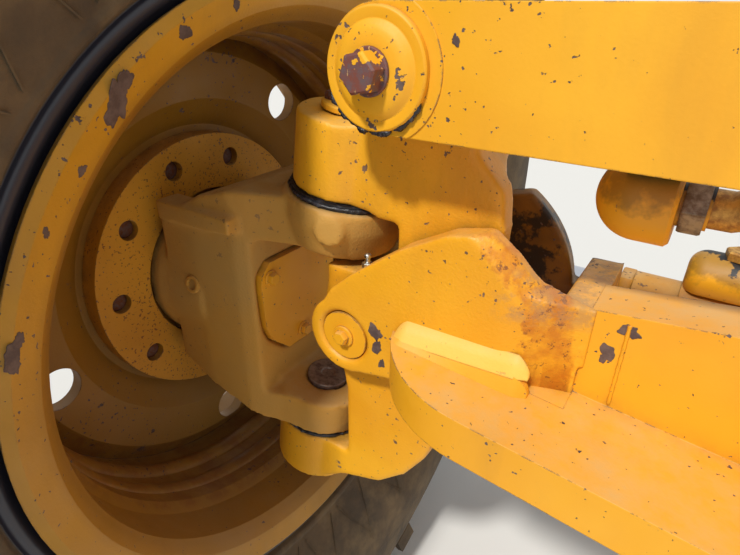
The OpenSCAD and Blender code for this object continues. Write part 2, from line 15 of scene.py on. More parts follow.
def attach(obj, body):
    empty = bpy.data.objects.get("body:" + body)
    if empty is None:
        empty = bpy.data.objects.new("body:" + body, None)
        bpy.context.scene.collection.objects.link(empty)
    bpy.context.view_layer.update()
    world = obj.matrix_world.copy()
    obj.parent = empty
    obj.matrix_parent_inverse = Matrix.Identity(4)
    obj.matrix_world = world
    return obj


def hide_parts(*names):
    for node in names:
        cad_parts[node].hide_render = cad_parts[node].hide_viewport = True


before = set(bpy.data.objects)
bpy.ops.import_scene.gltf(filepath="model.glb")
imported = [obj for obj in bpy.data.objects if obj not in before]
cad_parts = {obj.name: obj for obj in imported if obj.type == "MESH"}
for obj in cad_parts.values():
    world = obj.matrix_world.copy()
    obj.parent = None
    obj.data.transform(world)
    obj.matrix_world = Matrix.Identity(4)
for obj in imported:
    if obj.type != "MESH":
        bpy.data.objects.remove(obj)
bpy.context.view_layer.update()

MM = 0.001
WHEEL_Z = -80  # height of the wheel axis in the row frame
LEFT, RIGHT = -1, 1
SIDES = ((LEFT, "left"), (RIGHT, "right"))
FRONT, UP = (0, -1, 0), (0, 0, 1)
KINGPIN_X, KINGPIN_TILT = 912, math.radians(8)
HALF_TRACK, HUB_FACE = 1070, 1112
BAR_X, BAR_H, BAR_FRONT, BAR_W = 799, 266, -92, 84
LEAN_X, LEAN_H = 847, 22
EAR_OUT = 73
COLUMN_Y = 44  # half width of the bracket between the ears
FORK_X = 640  # where the beam's web meets the fork
HUMP_X, HUMP_H = 790, 60  # middle of the fork's round inboard face
TYRE_R, TYRE_W, LUG_H, LUG_COUNT = 682, 375, 26, 18
RIM_IN, RIM_LIP_R, RIM_SEAT_R, BARREL_R = 930, 335, 305, 281
HUB_HOLES, HUB_CIRCLE, HUB_HOLE_R = 10, 139, 11.5
ARM_Y, BALL_X, TIE_X, TIE_H = 175, 909, 925, -124


def flange_top(x):
    """Height of the bottom flange's upper face."""
    return -19 + 56 * x / FORK_X


def at(x, y, h, side=RIGHT):
    """A point in metres in the row frame."""
    return Vector((side * x, y, h + WHEEL_Z)) * MM


def srgb(r, g, b):
    """A colour given as 0 to 255, as the linear numbers that a shader takes."""
    def linear(c):
        c /= 255
        return c / 12.92 if c <= 0.04045 else ((c + 0.055) / 1.055) ** 2.4
    return linear(r), linear(g), linear(b), 1


# Materials
class Nodes:
    """A material's node tree, built up by short calls."""

    def __init__(self, name):
        self.material = bpy.data.materials.new(name)
        self.material.use_nodes = True
        self.tree = self.material.node_tree
        self.shader = self.tree.nodes["Principled BSDF"]
        coords = self.tree.nodes.new("ShaderNodeTexCoord")
        self.coords = coords.outputs["Object"]

    def feed(self, socket, value):
        """Sets a socket to a value, or joins another node's output to it."""
        if isinstance(value, (tuple, int, float)):
            socket.default_value = value
        else:
            self.tree.links.new(value, socket)

    def node(self, kind, inputs, **settings):
        """A new node, with its inputs fed by name or number."""
        n = self.tree.nodes.new(kind)
        for key, value in settings.items():
            setattr(n, key, value)
        for key, value in inputs.items():
            self.feed(n.inputs[key], value)
        return n

    def noise(self, scale, detail=3, rough=0.55, stretch=None):
        source = self.coords
        if stretch:
            source = self.node("ShaderNodeMapping", {"Scale": stretch, "Vector": source}).outputs["Vector"]
        inputs = {"Scale": scale, "Detail": detail, "Roughness": rough, "Vector": source}
        return self.node("ShaderNodeTexNoise", inputs).outputs["Fac"]

    def steps(self, source, low, high, first=0.0, last=1.0):
        """source, spread from low..high over first..last and kept in that range."""
        inputs = {"Value": source, "From Min": low, "From Max": high, "To Min": first, "To Max": last}
        return self.node("ShaderNodeMapRange", inputs).outputs["Result"]

    def math(self, operation, a, b):
        return self.node("ShaderNodeMath", {0: a, 1: b}, operation=operation).outputs["Value"]

    def both(self, *masks):
        """The product of several masks."""
        result = masks[0]
        for mask in masks[1:]:
            result = self.math("MULTIPLY", result, mask)
        return result

    def mix(self, amount, a, b):
        """Colour a, or b as far as the amount says."""
        inputs = {"Factor": amount, 6: a, 7: b}
        return self.node("ShaderNodeMix", inputs, data_type="RGBA").outputs[2]

    def bump(self, height, distance, strength, normal=None):
        inputs = {"Strength": strength, "Distance": distance, "Height": height}
        if normal is not None:
            inputs["Normal"] = normal
        return self.node("ShaderNodeBump", inputs).outputs["Normal"]

    def rounded_edges(self, radius):
        return self.node("ShaderNodeBevel", {"Radius": radius}, samples=6).outputs["Normal"]

    def face_normal(self):
        return self.node("ShaderNodeNewGeometry", {}).outputs["Normal"]

    def edge_mask(self, radius):
        """About 1 at an outward or inward edge and 0 on a flat face."""
        normals = {0: self.rounded_edges(radius), 1: self.face_normal()}
        dot = self.node("ShaderNodeVectorMath", normals, operation="DOT_PRODUCT")
        return self.steps(dot.outputs["Value"], 1.0, 0.8)

    # Painted shade mask: 1 where ambient occlusion finds near surfaces, in corners and recesses
    def crevices(self, distance):
        n = self.node("ShaderNodeAmbientOcclusion", {"Distance": distance}, samples=6)
        return self.steps(n.outputs["AO"], 0.75, 0.2)

    def numbers(self, vector):
        """The three numbers of a vector."""
        n = self.node("ShaderNodeSeparateXYZ", {"Vector": vector})
        return n.outputs["X"], n.outputs["Y"], n.outputs["Z"]

    def facing_up(self):
        """1 on a level face that looks up, 0 on an upright one."""
        return self.numbers(self.face_normal())[2]

    def place(self):
        """The three coordinates in the row frame, in metres."""
        return self.numbers(self.coords)

    def reach(self, across, along, across_middle, along_middle):
        """Distance in metres of two coordinates from a middle that is given in metres."""
        a = self.math("SUBTRACT", across, across_middle)
        b = self.math("SUBTRACT", along, along_middle)
        squares = self.math("ADD", self.math("MULTIPLY", a, a), self.math("MULTIPLY", b, b))
        return self.math("SQRT", squares, 0)

    def band(self, source, low, high, soft):
        """1 between low and high, and 0 outside a soft border."""
        return self.both(self.steps(source, low - soft, low), self.steps(source, high, high + soft, 1, 0))

    def output(self, socket, value):
        self.feed(self.shader.inputs[socket], value)


YELLOW = srgb(248, 180, 34)
OCHRE = srgb(234, 160, 26)
DUSTY_TAN = srgb(190, 148, 76)
DUSTY_OCHRE = srgb(206, 150, 58)
PRIMER = srgb(84, 66, 62)
BARE = srgb(112, 92, 84)
DIRT_AND_SHADE = srgb(98, 76, 44)
# Brown of dirt streaks, and of the painted shade in corners
DUST = srgb(206, 178, 128)
RUST = srgb(118, 66, 34)
ORANGE_RUST = srgb(196, 112, 22)
BLACK_GREASE = srgb(24, 22, 24)
WORN_BROWN = srgb(150, 120, 96)
# Painted shade of the fork's rear ear
REAR_SHADE_BROWN = srgb(92, 60, 28)
# Brown for the upward faces of the valve
TOP_BROWN = srgb(96, 74, 34)
# Painted shade inside the rim's lip
BARREL_SHADE_BROWN = srgb(120, 78, 16)
VEIL = srgb(150, 116, 60)


def fork_wear_and_shade(m, base):
    """Rusty slope round the fork's hump, worn top edge, and a rear ear darkened brown as painted shade, with
    black grease.
    """
    x, y, z = m.place()
    from_middle = m.math("ABSOLUTE", x, 0)
    reach = m.reach(from_middle, z, HUMP_X * MM, (HUMP_H + WHEEL_Z) * MM)
    ragged = m.math("ADD", reach, m.steps(m.noise(60, 4), 0.3, 0.7, -0.008, 0.008))
    front, rear = m.steps(y, -0.046, -0.05), m.steps(y, 0.044, 0.048)
    slope = m.both(front, m.band(ragged, 0.118, 0.146, 0.004))
    base = m.mix(m.both(slope, m.steps(m.noise(40, 5, 0.7), 0.38, 0.62, 0.15, 0.8)), base, ORANGE_RUST)
    base = m.mix(m.both(slope, m.steps(m.noise(130, 5, 0.75), 0.56, 0.62, 0, 0.85)), base, RUST)
    worn = m.both(m.band(z, 0.022, 0.05, 0.01), m.steps(from_middle, 0.71, 0.69),
                  m.steps(m.noise(50, 6, 0.75), 0.45, 0.55))
    base = m.mix(m.both(worn, 0.45), base, WORN_BROWN)
    # Painted shade: the rear ear, which stands in shadow, is darkened brown all over
    base = m.mix(m.both(rear, m.steps(m.noise(12, 3), 0.35, 0.6, 0.6, 0.95)), base, REAR_SHADE_BROWN)
    greasy = m.both(rear, m.steps(m.noise(26, 5, 0.7), 0.5, 0.56))
    return m.mix(m.both(greasy, 0.92), base, BLACK_GREASE)


def valve_top_darkening(m, base):
    """Brown, and black in places, where the surface faces up."""
    ragged = m.math("ADD", m.facing_up(), m.steps(m.noise(50, 4, 0.6), 0.3, 0.7, -0.4, 0.4))
    # Faces that look up turn brown, and black where they look most nearly up
    base = m.mix(m.both(m.steps(ragged, 0.0, 0.4), 0.6), base, TOP_BROWN)
    return m.mix(m.steps(ragged, 0.75, 0.83), base, BLACK_GREASE)


def rim_wear_and_shade(m, base):
    """A barrel darkened brown as painted shade, a dusty veil low down, and a rusty line where the disc meets
    it.
    """
    _, y, z = m.place()
    reach = m.reach(y, z, 0, WHEEL_Z * MM)
    # Painted shade: the barrel and disc inside the lip are darkened brown
    base = m.mix(m.both(m.steps(reach, 0.312, 0.296), 0.6), base, BARREL_SHADE_BROWN)
    veil = m.both(m.steps(z, 0.1, -0.35), m.steps(m.noise(9, 4), 0.3, 0.7, 0.25, 0.75))
    base = m.mix(veil, base, VEIL)
    joint = m.both(m.band(reach, 0.262, 0.284, 0.004), m.steps(m.noise(35, 5, 0.7), 0.4, 0.6))
    return m.mix(m.both(joint, 0.5), base, RUST)


def speckled(m, base):
    """Rust breaking through in fine specks."""
    patchy = m.steps(m.noise(16, 3), 0.4, 0.7, 0, 0.08)
    specks = m.steps(m.math("ADD", m.noise(260, 3, 0.6), patchy), 0.64, 0.68)
    return m.mix(m.both(specks, 0.85), base, RUST)


def paint(name, light=YELLOW, dark=OCHRE, chips=1.0, grain=0.0002, round_by=0.0015, dirt_and_shade=1.0, rough=0.5,
          wear=None, edge_chips=1.0, edge_colour=None):
    """Chipped yellow paint, with dust on top, and grime with painted shade in the corners."""
    m = Nodes(name)
    base = m.mix(m.steps(m.noise(5, 4), 0.35, 0.65), light, dark)
    if edge_colour:
        base = m.mix(m.math("MULTIPLY", m.edge_mask(0.012), 0.7), base, edge_colour)
    streaks = m.noise(14, 5, 0.6, (1, 1, 0.3))
    base = m.mix(m.steps(streaks, 0.55, 0.8, 0, 0.3 * dirt_and_shade), base, DIRT_AND_SHADE)
    up = m.steps(m.facing_up(), 0.5, 1.0)
    base = m.mix(m.both(up, m.steps(m.noise(30, 6, 0.7), 0.35, 0.7, 0.1, 0.55)), base, DUST)
    # Painted shade with grime: corners and recesses darkened by an ambient-occlusion mask
    grime_and_shade = m.both(m.crevices(0.03), m.steps(m.noise(45, 5, 0.7), 0.3, 0.6))
    base = m.mix(m.math("MULTIPLY", grime_and_shade, 0.7 * dirt_and_shade), base, DIRT_AND_SHADE)
    # The wear function adds wear, and for the fork and the rim painted shade as well
    if wear:
        base = wear(m, base)
    patchy = m.steps(m.noise(7, 2), 0.45, 0.65, 0.0, 0.06)
    large = m.steps(m.math("ADD", m.noise(55, 4, 0.6), patchy), 0.715, 0.73)
    small = m.steps(m.math("ADD", m.noise(210, 3, 0.5), patchy), 0.705, 0.725)
    edge = m.math("MULTIPLY", m.edge_mask(0.003), m.noise(75, 5, 0.7))
    edge = m.steps(edge, 0.56 - 0.05 * edge_chips, 0.6 - 0.05 * edge_chips)
    bare = m.math("MAXIMUM", m.math("MAXIMUM", large, small), edge)
    bare = m.math("MULTIPLY", bare, chips)
    chip_colour = m.mix(m.steps(m.noise(120, 2), 0.4, 0.6), PRIMER, BARE)
    m.output("Base Color", m.mix(bare, base, chip_colour))
    spread = m.steps(m.noise(25, 4), 0.3, 0.7, rough - 0.1, rough + 0.12)
    m.output("Roughness", m.math("ADD", spread, m.math("MULTIPLY", bare, 0.2)))
    height = m.math("SUBTRACT", m.math("MULTIPLY", m.noise(420, 3), grain / 0.0005), bare)
    m.output("Normal", m.bump(height, 0.0005, 0.8, m.rounded_edges(round_by)))
    return m.material


def plain_metal(name, colour, rough, metallic=1.0, stain=None, scale=120):
    """Bare metal or another plain surface, with stains where a colour is given for them."""
    m = Nodes(name)
    if stain:
        m.output("Base Color", m.mix(m.steps(m.noise(scale, 5, 0.7), 0.42, 0.62), colour, stain))
    else:
        m.output("Base Color", colour)
    m.output("Metallic", metallic)
    m.output("Roughness", m.steps(m.noise(scale, 4), 0.3, 0.7, rough * 0.8, min(1.0, rough * 1.3)))
    m.output("Normal", m.bump(m.noise(scale * 4, 3), 0.0002, 0.5, m.rounded_edges(0.0008)))
    return m.material


def bolt_paint(name):
    """Rusty bolt head with islands of paint and pale scratches."""
    m = Nodes(name)
    base = m.mix(m.steps(m.noise(150, 5, 0.7), 0.4, 0.6), srgb(104, 84, 86), srgb(124, 70, 58))
    scratches = m.steps(m.noise(330, 4, 0.7, (1, 1, 0.25)), 0.63, 0.66)
    base = m.mix(scratches, base, srgb(206, 170, 110))
    islands = m.steps(m.noise(95, 3), 0.55, 0.565)
    m.output("Base Color", m.mix(islands, base, YELLOW))
    m.output("Roughness", 0.6)
    height = m.math("ADD", islands, m.math("MULTIPLY", m.noise(500, 3), 0.4))
    m.output("Normal", m.bump(height, 0.0004, 0.8, m.rounded_edges(0.0008)))
    return m.material


def tyre_rubber(name, inside_black=True):
    """Dusty, cracked rubber, clean and black beside the rim's lip."""
    m = Nodes(name)
    dark, brown, pale = srgb(58, 50, 42), srgb(112, 92, 66), srgb(150, 126, 88)
    clean_black = srgb(46, 47, 58)
    base = m.mix(m.steps(m.noise(9, 6, 0.65), 0.35, 0.7, 0.15, 0.95), dark, brown)
    base = m.mix(m.steps(m.noise(22, 4, 0.6), 0.45, 0.75, 0, 0.4), base, pale)
    cracks = m.steps(m.noise(60, 8, 0.7), 0.35, 0.65)
    rough = 0.88
    if inside_black:
        _, y, z = m.place()
        clean = m.steps(m.reach(y, z, 0, WHEEL_Z * MM), 0.3495, 0.3485)
        base = m.mix(clean, base, clean_black)
        cracks = m.both(cracks, m.steps(clean, 0, 1, 1, 0.15))
        rough = m.steps(clean, 0, 1, rough, 0.38)
    m.output("Roughness", rough)
    m.output("Base Color", base)
    m.output("Normal", m.bump(cracks, 0.0008, 0.5))
    return m.material


def grease(name):
    """Wet, lumpy black grease."""
    m = Nodes(name)
    m.output("Base Color", m.mix(m.steps(m.noise(140, 4), 0.45, 0.65), BLACK_GREASE, srgb(62, 62, 72)))
    m.output("Roughness", 0.42)
    m.output("Normal", m.bump(m.noise(300, 4), 0.001, 0.6))
    return m.material


CAST_PAINT = paint("cast_paint", chips=0.9, grain=0.0005)
FORK_PAINT = paint("fork_paint", chips=0.9, grain=0.0005, wear=fork_wear_and_shade)
KNUCKLE_PAINT = paint("dusty_cast_paint", DUSTY_TAN, DUSTY_OCHRE, chips=0.5, grain=0.0007, rough=0.72,
                      edge_colour=srgb(226, 160, 48))
HUB_PAINT = paint("hub_paint", srgb(222, 156, 34), srgb(198, 134, 28), chips=0.9, rough=0.6, wear=speckled)
# Painted highlight: the weld's paint is paler than the rest
WELD_HIGHLIGHT_PAINT = paint("weld_highlight_paint", srgb(250, 204, 96), srgb(246, 190, 70), chips=0.3, dirt_and_shade=0.3)
PLATE_PAINT = paint("plate_paint", grain=0.00015, dirt_and_shade=0.7)
# Painted shade: the rim's yellow is a darker copy of the paint, with some dust
RIM_PAINT = paint("rim_paint", srgb(214, 154, 26), srgb(190, 134, 22), grain=0.0003, rough=0.55,
                  wear=rim_wear_and_shade, edge_chips=2.0)
BROWN_PAINT = paint("shaded_paint", srgb(226, 160, 40), srgb(176, 116, 30), chips=0.8, dirt_and_shade=1.3)
VALVE_PAINT = paint("valve_paint", chips=0.5, wear=valve_top_darkening)
STEEL = plain_metal("worn_steel", srgb(150, 134, 124), 0.5, 0.6, stain=srgb(104, 82, 74))
RUSTY = plain_metal("rusty_steel", srgb(104, 78, 70), 0.75, 0.3, stain=RUST, scale=220)
BOLT = bolt_paint("chipped_bolt")
CHROME = plain_metal("chromed_rod", srgb(196, 200, 212), 0.14)
ZINC = plain_metal("zinc_plate", srgb(188, 190, 188), 0.3)
GREY_NUT = plain_metal("grey_nut", srgb(150, 146, 138), 0.5, 0.8, stain=srgb(112, 98, 84))
BRASSY = plain_metal("yellow_zinc", srgb(206, 158, 74), 0.5, 0.4, stain=srgb(150, 104, 50))
GREASE = grease("black_grease")
RUBBER = tyre_rubber("tyre_rubber")
TREAD_RUBBER = tyre_rubber("tread_rubber", inside_black=False)
BOOT_RUBBER = plain_metal("boot_rubber", srgb(34, 33, 32), 0.7, 0.0, stain=srgb(78, 68, 54), scale=60)
PRIMER_PATCH = plain_metal("primer_patch", PRIMER, 0.7, 0.0, stain=BARE, scale=90)
BARE_METAL = plain_metal("worn_bare_metal", srgb(146, 116, 84), 0.5, 0.4, stain=srgb(108, 78, 52), scale=90)


# Shapes
def linked(name, data):
    """A new object in the scene."""
    result = bpy.data.objects.new(name, data)
    bpy.context.scene.collection.objects.link(result)
    return result


def placed(name, mesh, material, body):
    """A mesh as a piece of one material, riding on a body."""
    mesh.materials.clear()
    mesh.materials.append(material)
    piece = linked(name, mesh)
    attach(piece, body)
    return piece


def level_normals(mesh):
    """Turns the faces of a closed mesh to look outward."""
    work = bmesh.new()
    work.from_mesh(mesh)
    bmesh.ops.recalc_face_normals(work, faces=work.faces)
    work.to_mesh(mesh)
    work.free()


def add_mesh(name, vertices, faces, material, body, slot, smooth=True):
    """A new closed piece from points in metres in the row frame."""
    mesh = bpy.data.meshes.new(name)
    mesh.from_pydata([tuple(v) for v in vertices], [], faces)
    mesh.validate()
    mesh.update()
    if smooth:
        mesh.shade_smooth()
        mesh.set_sharp_from_angle(angle=math.radians(35))
    level_normals(mesh)
    return placed(name, mesh, material, body)


def merged(parts):
    """Several (vertices, faces) as one."""
    vertices, faces = [], []
    for some_vertices, some_faces in parts:
        start = len(vertices)
        vertices += some_vertices
        faces += [tuple(start + i for i in f) for f in some_faces]
    return vertices, faces


def axes_for(direction):
    """Two unit vectors square to a direction, and the direction itself."""
    w = Vector(direction).normalized()
    u = w.cross(Vector((0, 0, 1)) if abs(w.z) < 0.9 else Vector((1, 0, 0))).normalized()
    return u, w.cross(u), w


def stitched(count, rings, closed=False):
    """Faces over rings of count points each. The last ring meets the first, or else both ends get a cap."""
    faces = []
    for ring in range(rings if closed else rings - 1):
        first, after = ring * count, (ring + 1) % rings * count
        for i in range(count):
            j = (i + 1) % count
            faces.append((first + i, first + j, after + j, after + i))
    if not closed:
        last = (rings - 1) * count
        faces += [tuple(range(count - 1, -1, -1)), tuple(range(last, last + count))]
    return faces


def slab_faces(count):
    """Faces of a slab between two outlines of count points each."""
    faces = [tuple(range(count)), tuple(range(2 * count - 1, count - 1, -1))]
    return faces + [(i, i + count, (i + 1) % count + count, (i + 1) % count) for i in range(count)]


def turned_solid(outline, centre, direction, sides=48, turn=0.0):
    """A closed form: an outline of (along, radius) in mm, turned about a direction."""
    u, v, w = axes_for(direction)
    vertices = []
    for along, radius in outline:
        for i in range(sides):
            a = 2 * math.pi * i / sides + turn
            out = u * math.cos(a) + v * math.sin(a)
            vertices.append(centre + MM * (w * along + max(radius, 0.01) * out))
    return vertices, stitched(sides, len(outline))


def turned(name, outline, centre, direction, material, body, sides=48, slot="steel"):
    """A turned form as a piece."""
    return add_mesh(name, *turned_solid(outline, centre, direction, sides), material, body, slot)


def ring_solid(section_at, centre, direction, sides):
    """A closed ring about a direction. section_at gives its (along, radius) in mm for an angle."""
    u, v, w = axes_for(direction)
    vertices = []
    for i in range(sides):
        a = 2 * math.pi * i / sides
        out = u * math.cos(a) + v * math.sin(a)
        section = section_at(a)
        vertices += [centre + MM * (w * along + out * radius) for along, radius in section]
    return vertices, stitched(len(section), sides, closed=True)


def hex_outline(across, height):
    """Outline of a chamfered hexagon head, for six sides."""
    corner = across / math.sqrt(3)
    return [(0, corner), (height - 1.6, corner), (height, corner * 0.88)]


def hex_head(name, centre, direction, across, height, material, body, washer=0.0, slot="steel"):
    """A hexagon bolt head with a chamfer, on a washer where one is asked for."""
    turn, thick = 0.2, 2.5
    w = Vector(direction).normalized()
    base = centre + w * (thick * MM if washer else 0)
    parts = [turned_solid(hex_outline(across, height), base, direction, 6, turn)]
    if washer:
        edge = [(0, washer), (1.8, washer), (thick, washer - 0.8)]
        parts.append(turned_solid(edge, centre, direction, 32))
    return add_mesh(name, *merged(parts), material, body, slot)


def hex_ring(name, centre, direction, across, bore, height, material, body, slot="steel"):
    """A hexagon nut round a rod, open in the middle."""
    def section_at(angle):
        outer = across / 2 / math.cos((angle % (math.pi / 3)) - math.pi / 6)
        return [(0, 0.96 * outer), (1.5, outer), (height - 1.5, outer), (height, 0.96 * outer),
                (height, bore), (0, bore)]

    return add_mesh(name, *ring_solid(section_at, centre, direction, 36), material, body, slot)


def tube_solid(points, radius, sides=12, wobble=0.0):
    """A round bar along points in metres. wobble makes the ripples of a weld bead."""
    vertices = []
    previous = None
    for i, p in enumerate(points):
        w = (points[min(i + 1, len(points) - 1)] - points[max(i - 1, 0)]).normalized()
        u = (previous - w * previous.dot(w)).normalized() if previous is not None else axes_for(w)[0]
        previous = u
        v = w.cross(u)
        size = radius[i] if isinstance(radius, list) else radius
        r = size * MM * (1 + wobble * (1 if i % 2 else -1))
        for k in range(sides):
            a = 2 * math.pi * k / sides
            vertices.append(p + r * (u * math.cos(a) + v * math.sin(a)))
    return vertices, stitched(sides, len(points))


def swept(name, points, radius, material, body, sides=12, wobble=0.0, slot="steel"):
    """A round bar as a piece."""
    return add_mesh(name, *tube_solid(points, radius, sides, wobble), material, body, slot)


def rounded(points, steps=4):
    """A closed outline whose corners (a, b, radius) are eased by short curves."""
    result = []
    count = len(points)
    for i, (a, b, radius) in enumerate(points):
        corner = Vector((a, b))
        before, after = Vector(points[i - 1][:2]), Vector(points[(i + 1) % count][:2])
        if radius <= 0:
            result.append((a, b))
            continue
        back, on = before - corner, after - corner
        start = corner + back * min(radius / back.length, 0.45)
        end = corner + on * min(radius / on.length, 0.45)
        for k in range(steps + 1):
            t = k / steps
            p = start * (1 - t) ** 2 + corner * 2 * t * (1 - t) + end * t ** 2
            result.append((p.x, p.y))
    return result


def block_solid(outline, y1, y2, side):
    """A block seen from the front as a list of (x, height), from y1 back to y2."""
    vertices = [at(x, y, h, side) for y in (y1, y2) for x, h in outline]
    return vertices, slab_faces(len(outline))


def hull_solid(points):
    """The closed form stretched over some points."""
    mesh = bmesh.new()
    for p in points:
        mesh.verts.new(p)
    bmesh.ops.convex_hull(mesh, input=mesh.verts)
    loose = [v for v in mesh.verts if not v.link_faces]
    bmesh.ops.delete(mesh, geom=loose, context="VERTS")
    mesh.verts.index_update()
    result = [v.co.copy() for v in mesh.verts], [tuple(v.index for v in f.verts) for f in mesh.faces]
    mesh.free()
    return result


def with_modifiers(mesh, settings):
    """A new mesh: the given one after some modifiers."""
    copy = linked("working_copy", mesh)
    for kind, values in settings:
        modifier = copy.modifiers.new(kind.lower(), kind)
        for key, value in values.items():
            setattr(modifier, key, value)
    bpy.context.view_layer.update()
    evaluated = copy.evaluated_get(bpy.context.evaluated_depsgraph_get())
    result = bpy.data.meshes.new_from_object(evaluated)
    bpy.data.objects.remove(copy)
    return result


def draw_in_root(vertices):
    """Slopes the fork's square root from the hump's edge back to the beam's web."""
    web_side, hump_x, web_x, top = 49.5, 700, 628, 119
    for v in vertices:
        x, y, h = abs(v.co.x) / MM, v.co.y / MM, v.co.z / MM - WHEEL_Z
        if y > -web_side or x > hump_x or h > top:
            continue
        t = min(1, max(0, (x - web_x) / (hump_x - web_x)))
        allowed = web_side + (EAR_OUT - web_side) * t * t * (3 - 2 * t)
        v.co.y = max(y, -allowed) * MM


def softened(node, voxel, passes, material, body, keep=0.4, extras=(), shape=None):
    """A casting with rounded edges in place of the CAD node of the same form."""
    work = bmesh.new()
    work.from_mesh(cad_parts[node].data)
    for vertices, faces in extras:
        added = bpy.data.meshes.new("added")
        added.from_pydata([tuple(v) for v in vertices], [], faces)
        level_normals(added)
        work.from_mesh(added)
        bpy.data.meshes.remove(added)
    mesh = bpy.data.meshes.new(node + "_work")
    work.to_mesh(mesh)
    work.free()
    even = with_modifiers(mesh, [("REMESH", {"mode": "VOXEL", "voxel_size": voxel * MM})])
    if shape:
        shape(even.vertices)
    result = with_modifiers(even, [("SMOOTH", {"factor": 0.5, "iterations": passes}),
                                   ("DECIMATE", {"ratio": keep})])
    result.name = node + "_casting"
    result.shade_smooth()
    piece = placed(result.name, result, material, body)
    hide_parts(node)


def dress_frame():
    """Materials of the CAD nodes, and eased edges on four that show as they are."""
    for name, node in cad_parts.items():
        material = PLATE_PAINT
        if "tyre" in name:
            material = RUBBER
        elif "rim" in name:
            material = RIM_PAINT
        elif "hub" in name:
            material = HUB_PAINT
        elif name in ("lean_lock_valve", "left_steer_barrel", "right_steer_barrel", "lean_barrel"):
            material = BROWN_PAINT
        elif name.endswith("_rod") and name != "tie_rod":
            material = CHROME
        elif "kingpins" in name or "ball" in name or "bush" in name:
            material = STEEL
        node.data.materials.clear()
        node.data.materials.append(material)
    for name in ("lean_bar", "axle_beam", "left_knuckle_cover", "right_knuckle_cover"):
        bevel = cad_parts[name].modifiers.new("eased edges", "BEVEL")
        bevel.width = 2.2 * MM
        bevel.segments = 3
        bevel.limit_method = "ANGLE"
        bevel.angle_limit = math.radians(50)


def castings():
    """Brackets, knuckles and forks, with the raised pads and fillets that the solids leave out."""
    fine, coarse = 2.0, 3.0
    rib = [(975, 118), (975, 99), (1088, 94), (1088, 117)]
    pad = [(-14, 0), (-14, 16), (5, 15), (5, 0)]
    web_y, top, bottom = -47.5, 112, 62
    crest = [(636, web_y, top), (657, -62, top), (688, -68, 119), (690, web_y, 129), (636, web_y, bottom),
             (657, -62, bottom), (690, -72, bottom), (690, web_y, bottom)]
    bridge = [(x, y, h) for x, h in ((636, top), (662, top - 1), (662, bottom), (636, bottom))
              for y in (-50, 50)]
    for side, end in SIDES:
        softened(end + "_bracket", coarse, 9, CAST_PAINT, "bracket_" + end)
        added = (block_solid(rib, -90, -60, side),
                 turned_solid(pad, at(871, -58.5, 121, side), Vector((side * -0.33, -0.94, 0)), 24))
        softened(end + "_knuckle", coarse, 7, KNUCKLE_PAINT, "knuckle_" + end, extras=added)
        fills = [hull_solid([at(*p, side) for p in points]) for points in (crest, bridge)]
        softened(end + "_fork", fine, 6, FORK_PAINT, "axle", keep=0.3, extras=fills, shape=draw_in_root)


def bead_strip(name, start, end_x, section, side, material):
    """A long bead along the foot of an ear. section gives its outline for a share of the way along."""
    vertices = []
    stations = start - (start - end_x) * (1 - np.cos(np.linspace(0, math.pi, 41))) / 2
    for x in stations:
        outline = section((start - x) / (start - end_x))
        from_start, from_end = max(0, (start - x) / 12), max(0, (x - end_x) / 14)
        taper = min(1, math.sqrt(from_start) + 0.12, math.sqrt(from_end) + 0.12)
        middle_y = sum(y for y, _ in outline) / len(outline)
        foot = outline[0][1]
        for y, h in outline:
            y = middle_y + (y - middle_y) * max(taper, 0.5)
            vertices.append(at(x, y, flange_top(x) - 1 + foot + (h - foot) * taper, side))
    add_mesh(name, vertices, stitched(len(outline), len(stations)), material, "axle", "paint")


def weld_strips():
    """Broad smooth weld along the foot of each ear, painted paler as a highlight, over a small step of the
    flange.
    """
    inner_y, web_y = -EAR_OUT + 2, -48.4
    inner, outer, thick, web_x = 625, 702, 20, 613

    def step(share):
        wide, tall = 18 - 4 * share, 3 + 14 * share
        return [(inner_y, 0), (-EAR_OUT - wide, 0), (-EAR_OUT - wide + 6, tall), (inner_y, tall)]

    def weld(share):
        low, wide, tall = 1 + 14 * share, 14 - 5 * share, 16
        return [(inner_y, low), (-EAR_OUT - wide, low), (-EAR_OUT - wide * 0.62, low + tall * 0.5),
                (-EAR_OUT - wide * 0.3, low + tall * 0.82), (inner_y, low + tall)]

    fill = [(inner, flange_top(inner) - 0.2), (outer, flange_top(outer) - 0.2),
            (outer, flange_top(outer) - thick), (inner, flange_top(inner) - thick)]
    for side, end in SIDES:
        bead_strip(end + "_ear_step", 788, 666, step, side, PLATE_PAINT)
        block = block_solid(fill, -EAR_OUT - 0.5, -47, side)
        add_mesh(end + "_flange_fill", *block, PLATE_PAINT, "axle", "paint")
        bead_strip(end + "_ear_weld", 786, 668, weld, side, WELD_HIGHLIGHT_PAINT)
        seam = [at(web_x, web_y, h, side) for h in np.linspace(flange_top(web_x) + 3, 108, 16)]
        swept(end + "_web_weld", seam, 1.5, PLATE_PAINT, "axle", 8, 0.12, "paint")


def flake(name, centre, normal, size, seed, body, tall, material=PRIMER_PATCH):
    """A thin island of bare primer where paint has come off a flat face."""
    draw = random.Random(seed)
    u, v, w = axes_for(normal)
    corners, half_thick = 44, 0.25
    waves = []
    for k in (1, 2, 3, 5, 8, 13):
        waves.append((draw.uniform(0, 6.28), draw.uniform(0.5, 1.0) * 0.34 / k ** 0.7, k))
    rim = []
    for i in range(corners):
        a = 2 * math.pi * i / corners
        reach = size * (0.8 + sum(share * math.sin(k * a + phase) for phase, share, k in waves))
        rim.append(centre + MM * (u * math.cos(a) * reach + v * math.sin(a) * reach * tall))
    lift = w * half_thick * MM
    vertices = [p + lift for p in rim] + [p - lift for p in rim]
    add_mesh(name, vertices, slab_faces(corners), material, body, "steel", smooth=False)


